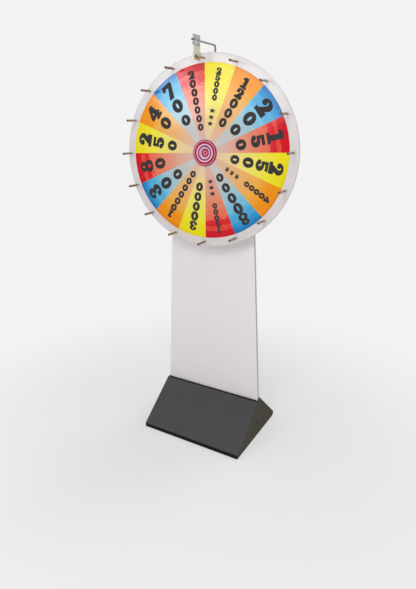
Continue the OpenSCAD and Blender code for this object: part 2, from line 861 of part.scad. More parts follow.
// Flanged hub with a seat for each bearing and a step between them
module hub() {
    seat_r = bearing_r + fit;
    step_at = bearing_front_at + bearing_w;
    color([0.72, 0.73, 0.74])
        at_wheel() difference() {
            union() {
                translate([0, 0, disc_back]) cylinder(d = hub_flange_d, h = hub_flange_t);
                translate([0, 0, disc_back]) cylinder(r = hub_barrel_r, h = hub_back - disc_back);
            }
            translate([0, 0, disc_back - cut]) cylinder(r = seat_r, h = step_at - disc_back + cut);
            translate([0, 0, step_at - cut]) cylinder(r = hub_step_r, h = bearing_gap + 2 * cut);
            translate([0, 0, step_at + bearing_gap]) cylinder(r = seat_r, h = bearing_w + hub_lip + cut);
            translate([0, 0, bearing_front_at - ring_t - ring_slack])
                cylinder(r = seat_r + groove_depth, h = ring_t + ring_slack);
            round_wheel(hub_screw_count, hub_screw_r)
                cylinder(d = hub_screw_d + 2 * fit, h = disc_front + hub_screw_len + sink);
        }
}

module hub_ring() {
    color([0.25, 0.25, 0.25])
        at_wheel() translate([0, 0, bearing_front_at - ring_t - ring_slack / 2])
            retaining_ring(bearing_r - 1.5, bearing_r + groove_depth);
}

// Countersunk screw with its head at zero
module countersunk_screw(length, slack) {
    cone_h = (hub_screw_head_d - hub_screw_d) / 2;
    cylinder(d1 = hub_screw_head_d + 2 * slack, d2 = hub_screw_d + 2 * slack, h = cone_h);
    cylinder(d = hub_screw_d + 2 * slack, h = length);
}

module hub_screws() {
    color([0.6, 0.6, 0.6])
        at_wheel() round_wheel(hub_screw_count, hub_screw_r)
            translate([0, 0, disc_front]) countersunk_screw(hub_screw_len, 0);
}

module wheel_disc() {
    color([0.93, 0.92, 0.93])
        at_wheel() difference() {
            translate([0, 0, disc_front]) cylinder(r = disc_r, h = disc_t, $fn = 180);
            translate([0, 0, disc_front - cut]) cylinder(r = bearing_r + fit, h = disc_t + 2 * cut);
            round_wheel(peg_count, peg_circle_r)
                cylinder(d = peg_stud_d + 2 * hole_gap, h = disc_back + cut);
            round_wheel(hub_screw_count, hub_screw_r)
                translate([0, 0, disc_front]) countersunk_screw(disc_t + cut, hole_gap);
        }
}

module print_sheet() {
    color([0.93, 0.75, 0.25])
        at_wheel() difference() {
            cylinder(r = print_r, h = print_t, $fn = 180);
            translate([0, 0, -cut]) cylinder(r = print_hole_r, h = print_t + 2 * cut);
        }
}

// Peg with a bevelled tip and a stud through the disc
module peg() {
    peg_r = peg_d / 2;
    stud_r = peg_stud_d / 2;
    rotate_extrude() polygon([
        [0, -peg_len], [peg_r - peg_bevel, -peg_len], [peg_r, -peg_len + peg_bevel],
        [peg_r, disc_front], [stud_r, disc_front], [stud_r, peg_stud_end], [0, peg_stud_end],
    ]);
}

module pegs() { color([0.5, 0.45, 0.4]) at_wheel() round_wheel(peg_count, peg_circle_r) peg(); }

module peg_nuts() {
    color([0.62, 0.62, 0.6])
        at_wheel() round_wheel(peg_count, peg_circle_r) {
            translate([0, 0, disc_back])
                tube(washer_d(peg_stud_d) / 2, peg_stud_d / 2 + fit, washer_t(peg_stud_d));
            translate([0, 0, peg_nut_at]) hex_nut(peg_nut_af, peg_nut_t, peg_stud_d);
        }
}

// Dished cap with a collar that pushes into the hub
module hub_cap() {
    cap_r = cap_d / 2;
    collar_r = bearing_r - fit;
    dish_r = collar_r - 1.5 * cap_wall;
    color([0.78, 0.12, 0.2])
        at_wheel() rotate_extrude() polygon([
            [0, dish_depth], [dish_r - 1, dish_depth], [dish_r, -cap_t],
            [cap_r - cap_bevel, -cap_t], [cap_r, -cap_t + cap_bevel], [cap_r, 0],
            [cap_r - cap_wall, 0], [cap_r - cap_wall, -cap_t + cap_wall],
            [collar_r, -cap_t + cap_wall], [collar_r, collar_len], [collar_r - cap_wall, collar_len],
            [collar_r - cap_wall, dish_back], [0, dish_back],
        ]);
}

// Rod behind the board that rises over the rim, bends forwards and carries the clapper
module pointer_rod() {
    rod_r = rod_d / 2;
    arm_back = rod_y - rod_bend_r;
    color([0.45, 0.45, 0.44])
        difference() {
            union() {
                along_y(rod_x, rod_front, rod_z) cylinder(r = rod_r, h = arm_back - rod_front);
                translate([rod_x, arm_back, rod_z - rod_bend_r]) rotate([90, 0, 90])
                    rotate_extrude(angle = 90) translate([rod_bend_r, 0]) circle(r = rod_r);
                translate([rod_x, rod_y, rod_low]) cylinder(r = rod_r, h = rod_z - rod_bend_r - rod_low);
            }
            for (s = [-1, 1])
                along_x(rod_x - rod_d, plate_y + s * plate_screw_pitch / 2, rod_z)
                    cylinder(d = plate_screw_d + 2 * fit, h = 2 * rod_d);
            along_y(rod_x, rod_front - cut, rod_z)
                cylinder(d = rod_plug_d + 2 * fit, h = cut + rod_plug_len + sink);
        }
}

// Plug with a flat head that closes the front end of the rod
module rod_end_cap() {
    color([0.08, 0.08, 0.08])
        along_y(rod_x, rod_front - rod_cap_len, rod_z) {
            cylinder(d = rod_d, h = rod_cap_len);
            cylinder(d = rod_plug_d, h = rod_cap_len + rod_plug_len);
        }
}

// Block on the post that grips the rod
module rod_clip(z) {
    color([0.3, 0.3, 0.3])
        difference() {
            translate([rod_x - clip_w / 2, post_back, z - clip_h / 2])
                cube([clip_w, clip_back - post_back, clip_h]);
            translate([rod_x, rod_y, z - clip_h]) cylinder(d = rod_d + 2 * fit, h = 2 * clip_h);
            for (s = [-1, 1])
                along_y(rod_x + s * clip_screw_off, post_back - cut, z)
                    cylinder(d = clip_screw_d + 2 * fit, h = clip_back - post_back + 2 * cut);
        }
}

module rod_clip_lower() { rod_clip(clip_low); }

module rod_clip_upper() { rod_clip(clip_high); }

module rod_clip_screws() {
    color([0.6, 0.6, 0.58])
        for (z = [clip_low, clip_high], s = [-1, 1])
            translate([rod_x + s * clip_screw_off, clip_back, z]) rotate([90, 0, 0])
                pan_screw(clip_screw_d, clip_back - post_back + post_wall + clip_wall);
}

// Holes along X through the plate and the pieces behind it
module rivet_holes(slack) {
    for (s = [-1, 1])
        along_x(strap_left - bar_t - cut, clapper_y + s * rivet_pitch / 2, rivet_z)
            cylinder(d = rivet_d + 2 * slack, h = bar_t + strap_t + plate_t + 2 * cut);
}

module clapper_plate() {
    color([0.6, 0.63, 0.63])
        difference() {
            translate([strap_right, plate_y - plate_w / 2, plate_low]) cube([plate_t, plate_w, plate_h]);
            rivet_holes(fit);
            for (s = [-1, 1])
                along_x(strap_right - cut, plate_y + s * plate_screw_pitch / 2, rod_z)
                    cylinder(d = plate_screw_d + 2 * fit, h = plate_t + 2 * cut);
        }
}

module clapper_bar() {
    color([0.6, 0.63, 0.63])
        difference() {
            translate([strap_left - bar_t, clapper_y - strap_w / 2, plate_low]) cube([bar_t, strap_w, bar_h]);
            rivet_holes(fit);
        }
}

// Screws through the plate and the rod, with a nut on the far side
module clapper_screws() {
    far_x = rod_x - rod_d / 2;
    color([0.2, 0.2, 0.2])
        for (s = [-1, 1]) {
            y = plate_y + s * plate_screw_pitch / 2;
            translate([strap_right + plate_t, y, rod_z]) rotate([0, -90, 0])
                pan_screw(plate_screw_d, plate_t + rod_d + nut_t(plate_screw_d) + thread_out);
            translate([far_x, y, rod_z]) rotate([0, -90, 0])
                hex_nut(nut_af(plate_screw_d), nut_t(plate_screw_d), plate_screw_d);
        }
}

// Rivets with a low head on each side
module clapper_rivets() {
    bar_x = strap_left - bar_t;
    plate_x = strap_right + plate_t;
    color([0.55, 0.57, 0.58])
        for (s = [-1, 1]) {
            y = clapper_y + s * rivet_pitch / 2;
            along_x(bar_x, y, rivet_z) cylinder(d = rivet_d, h = plate_x - bar_x);
            for (x = [bar_x - rivet_head_h, plate_x])
                along_x(x, y, rivet_z) cylinder(d = rivet_head_share * rivet_d, h = rivet_head_h);
        }
}

// The end of the strap that the plate and the bar clamp
module strap_root() {
    color([0.79, 0.76, 0.68])
        difference() {
            translate([strap_left, strap_front, plate_low]) cube([strap_t, strap_w, bar_h]);
            rivet_holes(fit);
        }
}

// The free length of the strap, which bends at the edge of the clamp
module clapper_strap() {
    color([0.79, 0.76, 0.68]) {
        along_y(strap_x, strap_front, flex_z) cylinder(d = strap_t, h = strap_w);
        translate([strap_left, strap_front, strap_tip_z]) cube([strap_t, strap_w, flex_z - strap_tip_z]);
    }
}

base_tray();
base_cover();
base_end_left();
base_end_right();
tie_bar();
tie_screws();
ballast_front();
ballast_back();
socket_rail_front();
socket_rail_left();
socket_rail_right();
socket_bolts();
base_nuts();
flange_screws();
board();
face_sheet();
post();
post_foot();
post_cap();
post_screws();
axle();
axle_washer();
axle_nut();
plate_bolts();
plate_nuts();
plate_spacer_sleeve();
bearing_spacer();
bearing_inner_rings();
axle_shim();
axle_ring();
bearing_balls();
bearing_cages();
bearing_outer_rings();
bearing_seals();
hub();
hub_ring();
hub_screws();
wheel_disc();
print_sheet();
pegs();
peg_nuts();
hub_cap();
pointer_rod();
rod_end_cap();
rod_clip_lower();
rod_clip_upper();
rod_clip_screws();
clapper_plate();
clapper_bar();
clapper_screws();
clapper_rivets();
strap_root();
clapper_strap();
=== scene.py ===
"""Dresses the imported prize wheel: materials, print, numbers, pegs, strap, sheet metal, light and camera."""
import math

import bmesh
import bpy
from mathutils import Matrix, Vector


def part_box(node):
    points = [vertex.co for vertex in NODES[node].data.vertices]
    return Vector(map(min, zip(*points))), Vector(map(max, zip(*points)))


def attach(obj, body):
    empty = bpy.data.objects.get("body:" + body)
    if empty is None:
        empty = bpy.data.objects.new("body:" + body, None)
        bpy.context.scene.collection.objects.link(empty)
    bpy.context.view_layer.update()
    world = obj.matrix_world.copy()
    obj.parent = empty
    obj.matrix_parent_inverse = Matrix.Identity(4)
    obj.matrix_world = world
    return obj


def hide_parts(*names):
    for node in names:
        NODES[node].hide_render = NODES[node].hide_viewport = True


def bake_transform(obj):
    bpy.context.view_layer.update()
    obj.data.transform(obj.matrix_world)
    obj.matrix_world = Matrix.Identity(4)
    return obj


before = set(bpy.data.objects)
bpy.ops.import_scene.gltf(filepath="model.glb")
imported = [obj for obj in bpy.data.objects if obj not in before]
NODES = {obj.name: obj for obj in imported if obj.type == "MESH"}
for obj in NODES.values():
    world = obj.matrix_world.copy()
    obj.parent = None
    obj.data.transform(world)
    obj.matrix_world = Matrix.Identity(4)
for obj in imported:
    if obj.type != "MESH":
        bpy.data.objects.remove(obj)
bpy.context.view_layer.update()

# Places and sizes in the part's frame, in metres
AXLE_Z = 1.255
PRINT_Y = -0.034
PRINT_R = 0.362
PRINT_HOLE_R = 0.048
PRINT_T = 0.0005
DISC_R = 0.400
DISC_T = 0.006
PEG_CIRCLE_R = 0.379
PEG_LENGTH = 0.072
SECTORS = 16
SECTOR_ANGLE = 2 * math.pi / SECTORS
MM = 0.001


# Materials

def srgb(red, green, blue):
    """Linear RGBA of a colour given as 0 to 255."""
    def linear(c):
        c /= 255
        return c / 12.92 if c <= 0.04045 else ((c + 0.055) / 1.055) ** 2.4
    return (linear(red), linear(green), linear(blue), 1.0)


class Graph:
    """A material whose nodes are added one call at a time. Places are in metres in the part's frame."""

    def __init__(self, name, metallic=0.0):
        self.material = bpy.data.materials.new(name)
        self.material.use_nodes = True
        self.nodes = self.material.node_tree.nodes
        self.links = self.material.node_tree.links
        self.shader = self.nodes["Principled BSDF"]
        self.shader.inputs["Metallic"].default_value = metallic
        self.place = self.nodes.new("ShaderNodeTexCoord").outputs["Object"]

    def add(self, kind, output, inputs, **settings):
        node = self.nodes.new("ShaderNode" + kind)
        for key, value in settings.items():
            setattr(node, key, value)
        for key, value in inputs.items():
            self.put(node.inputs[key], value)
        return node.outputs[output]

    def put(self, socket, value):
        if isinstance(value, bpy.types.NodeSocket):
            self.links.new(value, socket)
        else:
            socket.default_value = value

    def set(self, **sockets):
        for key, value in sockets.items():
            self.put(self.shader.inputs[key.replace("_", " ")], value)

    def scaled(self, scale):
        return self.add("Mapping", "Vector", {"Vector": self.place, "Scale": scale})

    def noise(self, scale, detail, vector=None):
        return self.add("TexNoise", 0, {
            "Vector": vector or self.place, "Scale": scale, "Detail": detail, "Roughness": 0.55})

    def math(self, operation, first, second):
        return self.add("Math", 0, {0: first, 1: second}, operation=operation)

    def weighted(self, first, first_weight, second, second_weight):
        return self.math("ADD", self.math("MULTIPLY", first, first_weight),
                         self.math("MULTIPLY", second, second_weight))

    def swung(self, value, wave, amount):
        """A value moved up and down by a wave that swings about one half."""
        return self.math("ADD", value, self.math("MULTIPLY", self.math("SUBTRACT", wave, 0.5), amount))

    def span(self, value, low, high, from_low=0.3, from_high=0.7):
        return self.add("MapRange", 0, {
            "Value": value, "From Min": from_low, "From Max": from_high, "To Min": low, "To Max": high})

    def ramp(self, value, stops):
        node = self.nodes.new("ShaderNodeValToRGB")
        self.links.new(value, node.inputs["Fac"])
        points = node.color_ramp.elements
        while len(points) < len(stops):
            points.new(1.0)
        for point, (position, colour) in zip(points, stops):
            point.position = position
            point.color = srgb(*colour)
        return node.outputs["Color"]

    def mix(self, factor, first, second, blend="MIX"):
        return self.add("Mix", 2, {0: factor, 6: first, 7: second}, data_type="RGBA", blend_type=blend)

    def bump(self, height, strength, distance):
        self.set(Normal=self.add("Bump", "Normal", {
            "Height": height, "Strength": strength, "Distance": distance}))


def surface(name, dark, light, roughness, metallic, grain=400.0, blotch=9.0, stretch=(1, 1, 1), bump=0.1,
            specular=None):
    """A finish with fine grain, broad patches of shade, uneven gloss and a slight relief."""
    gloss_spread, relief = 0.08, 0.0002
    graph = Graph(name, metallic)
    fine = graph.noise(grain, 4.0, graph.scaled(stretch))
    broad = graph.noise(blotch, 3.0)
    shade = graph.weighted(fine, 0.45, broad, 0.55)
    graph.set(Base_Color=graph.ramp(shade, [(0.36, dark), (0.64, light)]))
    graph.set(Roughness=graph.span(broad, roughness - gloss_spread, roughness + gloss_spread))
    graph.bump(fine, bump, relief)
    if specular is not None:
        graph.set(Specular_IOR_Level=specular)
    return graph.material


CAP_PAINT = dict(grain=500, blotch=40, bump=0.04, specular=0.15)

# Dark and light tone, roughness, share of metal, and what differs from the plain finish
FINISHES = {
    # Near-black tray: black paint, darkened further as painted shade of the front lip
    "base_black": ((10, 9, 8), (17, 16, 14), 0.6, 0.0, dict(grain=900, bump=0.25, specular=0.15)),
    "base_slate": ((64, 64, 65), (74, 74, 75), 0.62, 0.0, dict(grain=900, bump=0.3, specular=0.3)),
    "base_end": ((58, 54, 44), (74, 69, 56), 0.66, 0.0, dict(grain=900, blotch=14, bump=0.3, specular=0.2)),
    # Near-black for the cover's upward ledge: painted shade of the gap in front of the board
    "ledge_gap_shade": ((24, 19, 18), (34, 28, 26), 0.75, 0.0, dict(grain=900, bump=0.25, specular=0.2)),
    "zinc_steel": ((150, 152, 150), (182, 182, 178), 0.38, 0.9, dict(grain=700)),
    "black_screw": ((26, 26, 27), (38, 38, 39), 0.42, 0.4, dict(grain=800, bump=0.15)),
    "ballast_iron": ((58, 58, 60), (82, 80, 78), 0.75, 0.3, dict(grain=350, bump=0.5)),
    # Grey-beige board body: partly the core's own tone, partly painted shade of the board's edges
    "board_core": ((194, 188, 182), (208, 202, 195), 0.6, 0.0, dict(grain=600, bump=0.15)),
    "board_face": ((237, 232, 230), (239, 234, 241), 0.42, 0.0, dict(grain=500, blotch=2, bump=0.05)),
    "post_black": ((44, 44, 45), (56, 56, 57), 0.5, 0.0, dict(grain=900, bump=0.3)),
    "black_plastic": ((22, 22, 23), (32, 32, 33), 0.45, 0.0, dict(grain=1200, bump=0.2)),
    "turned_steel": ((150, 150, 150), (186, 186, 186), 0.28, 0.95, dict(grain=300, stretch=(1, 6, 1))),
    "cage_brass": ((160, 130, 70), (190, 160, 95), 0.35, 0.9, dict(grain=500)),
    "black_rubber": ((24, 24, 24), (34, 34, 34), 0.7, 0.0, dict(grain=1200, bump=0.2)),
    "hub_alloy": ((168, 170, 172), (196, 198, 200), 0.34, 0.85,
                  dict(grain=300, stretch=(1, 8, 1), bump=0.15)),
    "white_acrylic": ((214, 208, 207), (222, 216, 215), 0.26, 0.0,
                      dict(grain=700, blotch=3, bump=0.02, specular=0.4)),
    # The disc's side and back chamfer, painted greyer: painted shade on the rim
    "disc_side_shade": ((178, 175, 178), (198, 195, 197), 0.3, 0.0, dict(grain=700, blotch=12, bump=0.02)),
    "peg_metal": ((140, 124, 104), (182, 166, 142), 0.42, 0.45,
                  dict(grain=500, stretch=(6, 1, 6), bump=0.15)),
    # Darker peg end, also laid in the pegs' grooves as painted shade
    "peg_end_and_groove_shade": ((84, 72, 61), (110, 96, 82), 0.5, 0.4, dict(grain=700, bump=0.2)),
    "peg_root": ((206, 203, 201), (222, 219, 217), 0.4, 0.0, dict(grain=900)),
    "rod_steel": ((98, 94, 90), (124, 119, 114), 0.36, 0.6, dict(stretch=(4, 1, 4), bump=0.12)),
    "number_vinyl": ((54, 52, 53), (68, 65, 66), 0.6, 0.0,
                     dict(grain=600, blotch=20, bump=0.06, specular=0.03)),
    "cap_red": ((142, 0, 20), (162, 3, 30), 0.3, 0.0, CAP_PAINT),
    "cap_pale": ((216, 178, 210), (228, 194, 224), 0.3, 0.0, CAP_PAINT),
    "cap_purple": ((124, 6, 54), (146, 18, 70), 0.3, 0.0, CAP_PAINT),
    "cap_pink": ((216, 118, 150), (228, 142, 174), 0.3, 0.0, CAP_PAINT),
}
MATERIALS = {name: surface(name, dark, light, roughness, metallic, **more)
             for name, (dark, light, roughness, metallic, more) in FINISHES.items()}


def galvanised():
    """Zinc coating with the flat crystal patches of hot dipping."""
    graph = Graph("galvanised", 0.55)
    flakes = graph.add("TexVoronoi", "Color", {"Vector": graph.place, "Scale": 150.0, "Randomness": 1.0})
    tone = graph.add("SeparateColor", 0, {"Color": flakes})
    patch = graph.noise(70.0, 3.0)
    stops = [(0.2, (99, 108, 108)), (0.5, (120, 127, 127)), (0.8, (142, 147, 146))]
    graph.set(Base_Color=graph.ramp(graph.weighted(tone, 0.5, patch, 0.5), stops))
    graph.set(Roughness=graph.span(tone, 0.36, 0.58, 0.0, 1.0))
    graph.bump(patch, 0.15, 0.0002)
    return graph.material


def strap_leather():
    """Pale split leather: fibres, mottled patches, greyer at the clamp and tanner at the tip."""
    tan_z, grey_z = 1.615, 1.690
    graph = Graph("strap_leather")
    fibre = graph.noise(900.0, 5.0, graph.scaled((1, 1, 0.35)))
    patch = graph.noise(110.0, 4.0)
    height = graph.add("SeparateXYZ", "Z", {"Vector": graph.place})
    along = graph.span(height, 0.0, 1.0, tan_z, grey_z)
    lower = graph.ramp(patch, [(0.35, (232, 216, 190)), (0.65, (244, 232, 212))])
    upper = graph.ramp(patch, [(0.35, (226, 226, 214)), (0.65, (240, 238, 228))])
    colour = graph.mix(along, lower, upper)
    speck = graph.ramp(fibre, [(0.3, (226, 221, 214)), (0.6, (255, 255, 255))])
    graph.set(Base_Color=graph.mix(0.6, colour, speck, "MULTIPLY"))
    graph.set(Roughness=graph.span(fibre, 0.75, 0.95))
    graph.bump(fibre, 0.45, 0.0004)
    return graph.material


def print_ink(name, stops, band, seed):
    """Ink that pales from the rim to the hub, in soft arcs that run across the sector."""
    pale_r, arcs_per_metre, wander, twist, mottling = 0.05, 34.0, 1.5, 2.0, 0.10
    graph = Graph(name)
    centred = graph.add("VectorMath", 0, {0: graph.place, 1: (0, 0, AXLE_Z)}, operation="SUBTRACT")
    flat = graph.add("VectorMath", 0, {0: centred, 1: (1, 0, 1)}, operation="MULTIPLY")
    radius = graph.add("VectorMath", "Value", {0: flat}, operation="LENGTH")
    across = graph.noise(3.0, 2.0, flat)
    lane = graph.weighted(radius, arcs_per_metre, across, wander)
    turned = graph.math("MULTIPLY", across, twist)
    lane_place = graph.add("CombineXYZ", 0, {"X": lane, "Y": seed, "Z": turned})
    bands = graph.noise(1.0, 2.0, lane_place)
    mottle = graph.noise(70.0, 4.0)
    share = graph.span(radius, 0.0, 1.0, pale_r, PRINT_R)
    graph.set(Base_Color=graph.ramp(graph.swung(graph.swung(share, bands, band), mottle, mottling), stops))
    graph.set(Roughness=graph.span(mottle, 0.08, 0.12), Specular_IOR_Level=0.16)
    graph.bump(graph.noise(600.0, 2.0), 0.03, 0.0002)
    return graph.material


# Stops from the hub to the rim, strength of the arcs, and a number that sets their pattern
INKS = [
    print_ink("ink_yellow", [(0.0, (228, 200, 168)), (0.12, (230, 205, 158)), (0.26, (236, 210, 140)),
                             (0.5, (236, 225, 104)), (0.72, (238, 226, 62)), (0.95, (236, 220, 10)),
                             (1.0, (230, 208, 0))], 0.28, 1.0),
    print_ink("ink_orange", [(0.0, (222, 188, 168)), (0.12, (224, 184, 156)), (0.26, (230, 180, 130)),
                             (0.5, (236, 176, 104)), (0.7, (238, 172, 68)), (0.78, (240, 158, 38)),
                             (0.93, (240, 146, 16)), (1.0, (229, 124, 2))], 0.3, 2.0),
    print_ink("ink_blue", [(0.0, (208, 200, 200)), (0.14, (200, 197, 196)), (0.28, (190, 194, 188)),
                           (0.5, (162, 198, 208)), (0.72, (102, 185, 219)), (0.9, (44, 150, 206)),
                           (1.0, (14, 106, 180))], 0.3, 3.0),
    print_ink("ink_red", [(0.0, (216, 186, 176)), (0.14, (218, 176, 160)), (0.28, (222, 164, 142)),
                          (0.5, (228, 136, 108)), (0.72, (232, 110, 84)), (0.745, (222, 46, 50)),
                          (0.84, (216, 26, 42)), (0.875, (230, 84, 58)), (0.905, (214, 18, 38)),
                          (1.0, (202, 2, 26))], 0.26, 4.0),
]

NODE_MATERIALS = {
    # The tray's black paint, darkened further as painted shade of its front lip
    "base_black": ["base_tray"],
    "base_slate": ["base_cover"],
    "base_end": ["base_end_left", "base_end_right", "tie_screws"],
    "zinc_steel": ["tie_bar", "socket_rail_front", "socket_rail_left", "socket_rail_right", "socket_bolts",
                   "base_nuts", "flange_screws", "post_screws", "axle_washer", "axle_nut", "plate_bolts",
                   "plate_nuts", "hub_screws", "peg_nuts", "rod_clip_screws", "clapper_rivets"],
    "black_screw": ["clapper_screws", "axle_ring", "hub_ring"],
    "ballast_iron": ["ballast_front", "ballast_back"],
    # The board's edges and back: core tone with painted shade of the edges
    "board_core": ["board"],
    "board_face": ["face_sheet"],
    "post_black": ["post", "post_foot"],
    "black_plastic": ["post_cap", "rod_clip_lower", "rod_clip_upper"],
    "turned_steel": ["axle", "plate_spacer_sleeve", "bearing_spacer", "axle_shim", "bearing_inner_rings",
                     "bearing_outer_rings", "bearing_balls"],
    "cage_brass": ["bearing_cages"],
    "black_rubber": ["bearing_seals", "rod_end_cap"],
    "hub_alloy": ["hub"],
    "white_acrylic": ["wheel_disc"],
    "peg_metal": ["pegs"],
    "rod_steel": ["pointer_rod"],
    "galvanised": ["clapper_plate", "clapper_bar"],
    "strap_leather": ["strap_root", "clapper_strap"],
}
MATERIALS["galvanised"] = galvanised()
MATERIALS["strap_leather"] = strap_leather()

for slot, names in NODE_MATERIALS.items():
    for name in names:
        NODES[name].data.materials.clear()
        NODES[name].data.materials.append(MATERIALS[slot])


# Meshes

def piece(name, mesh, body, materials, nodes=()):
    """A named object that rides on a body, if it is given, takes a slot's finish and stands for CAD nodes."""
    obj = bpy.data.objects.new(name, mesh)
    bpy.context.scene.collection.objects.link(obj)
    for material in materials:
        mesh.materials.append(material)
    if body:
        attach(obj, body)
    if nodes:
        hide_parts(*nodes)
    return obj


def to_mesh(bm, name, smooth_angle=35):
    """The finished mesh of a bmesh, welded, facing outwards and smooth below an angle."""
    bmesh.ops.remove_doubles(bm, verts=bm.verts, dist=1e-6)
    bmesh.ops.recalc_face_normals(bm, faces=bm.faces)
    mesh = bpy.data.meshes.new(name)
    bm.to_mesh(mesh)
    bm.free()
    for polygon in mesh.polygons:
        polygon.use_smooth = True
    mesh.set_sharp_from_angle(angle=math.radians(smooth_angle))
    return mesh


def level_faces(mesh, limit):
    """Corner normals that lean to the broadest face around, so that flat faces shade flat to their edges."""
    least = math.cos(math.radians(limit))
    around = [[] for _ in mesh.vertices]
    for polygon in mesh.polygons:
        for vertex in polygon.vertices:
            around[vertex].append(polygon)
    normals = []
    for polygon in mesh.polygons:
        for vertex in polygon.vertices:
            near = [other for other in around[vertex] if other.normal.dot(polygon.normal) > least]
            normals.append(sum((other.normal * other.area for other in near), Vector()).normalized())
    mesh.normals_split_custom_set(normals)
    return mesh


def spin(bm, profile, steps, centre, slot_of):
    """Turns a closed or pole-to-pole profile of (radius, y) round an axis along Y."""
    rings = []
    for step in range(steps):
        a = 2 * math.pi * step / steps
        rings.append([bm.verts.new((centre[0] + r * math.sin(a), y, centre[1] + r * math.cos(a)))
                      for r, y in profile])
    for step in range(steps):
        here, there = rings[step], rings[(step + 1) % steps]
        for i in range(len(profile) - 1):
            corners = [here[i], here[i + 1], there[i + 1], there[i]]
            if profile[i][0] < 1e-9:
                corners = [here[i], here[i + 1], there[i + 1]]
            elif profile[i + 1][0] < 1e-9:
                corners = [here[i], here[i + 1], there[i]]
            bm.faces.new(corners).material_index = slot_of(step, i)


def make_print():
    """The printed sheet: sixteen sectors in four inks, with the sheet's own thin edge."""
    steps_per_sector, rings = 10, 8
    edge_in, edge_deep = 0.0004, 0.0003
    inner, outer = PRINT_HOLE_R, PRINT_R
    front, back = PRINT_Y, PRINT_Y + PRINT_T
    profile = [(inner, back)]
    profile += [(inner + (outer - edge_in - inner) * i / rings, front) for i in range(rings + 1)]
    profile += [(outer, front + edge_deep), (outer, back), (inner, back)]
    bm = bmesh.new()
    spin(bm, profile, steps=SECTORS * steps_per_sector, centre=(0, AXLE_Z),
         slot_of=lambda step, i: (step // steps_per_sector) % len(INKS))
    piece("wheel_print", to_mesh(bm, "wheel_print"), "wheel", INKS, ["print_sheet"])


def make_disc():
    """The white disc with a broad rounded front edge and a side painted greyer as painted shade on the rim.
    Screws and studs fill its holes.
    """
    front, back = PRINT_Y + PRINT_T, PRINT_Y + PRINT_T + DISC_T
    bore, round_in, round_deep, edge = 0.02103, 0.0075, 0.0030, 0.0008
    arc = [math.radians(d) for d in (0, 12, 24, 36, 48, 60, 72, 82, 90)]
    profile = [(bore, back), (bore, front)]
    profile += [(DISC_R - round_in + round_in * math.sin(a), front + round_deep - round_deep * math.cos(a))
                for a in arc]
    side = len(profile) - 1
    profile += [(DISC_R, back - edge), (DISC_R - edge, back), (bore, back)]
    bm = bmesh.new()
    # The side and back chamfer take the greyer finish: painted shade on the rim
    spin(bm, profile, steps=192, centre=(0, AXLE_Z), slot_of=lambda step, i: int(side <= i < side + 2))
    piece("wheel_disc_form", to_mesh(bm, "wheel_disc_form"), "wheel",
          [MATERIALS["white_acrylic"], MATERIALS["disc_side_shade"]], ["wheel_disc"])


def make_cap():
    """The dished cap with its rings of paint. The dish ends just in front of the disc."""
    floor, front, back = PRINT_Y - 0.0003, PRINT_Y - 0.006, PRINT_Y + 0.005
    rim, collar, wall = 0.0545, 0.02097, 0.002
    lap, collar_end = PRINT_Y + 0.0004, PRINT_Y + 0.0096
    paints = ["cap_red", "cap_pale", "cap_purple", "cap_pink"]
    red, pale, purple, pink = range(len(paints))
    dish_rings = ((5.0, red), (10.5, pink), (17.8, red), (22.2, pale))
    front_rings = ((25.8, pale), (32.3, purple), (38.2, pale), (46.9, red), (50.6, pink))
    # In turn: the dish's floor and wall, the front, the rim, and the back with its collar
    outline = [(r * MM, floor, paint) for r, paint in dish_rings]
    outline += [(0.0226, floor - 0.0003, pale), (0.0234, front + 0.0005, pale), (0.0240, front, pale)]
    outline += [(r * MM, front, paint) for r, paint in front_rings]
    outline += [(rim - 0.0012, front, purple), (rim - 0.0003, front + 0.0004, purple),
                (rim, front + 0.0012, purple), (rim, front + 0.0030, purple), (rim, PRINT_Y, pink)]
    outline += [(r, y, red) for r, y in (
        (rim - wall, PRINT_Y), (rim - wall, front + wall), (0.0256, front + wall), (0.0246, lap),
        (collar, lap), (collar, collar_end), (collar - wall, collar_end), (collar - wall, back), (0.0, back))]
    profile = [(0.0, floor)] + [(r, y) for r, y, _ in outline]
    bm = bmesh.new()
    spin(bm, profile, steps=96, centre=(0, AXLE_Z), slot_of=lambda step, i: outline[i][2])
    piece("hub_cap_form", to_mesh(bm, "hub_cap_form", 30), "wheel",
          [MATERIALS[paint] for paint in paints], ["hub_cap"])


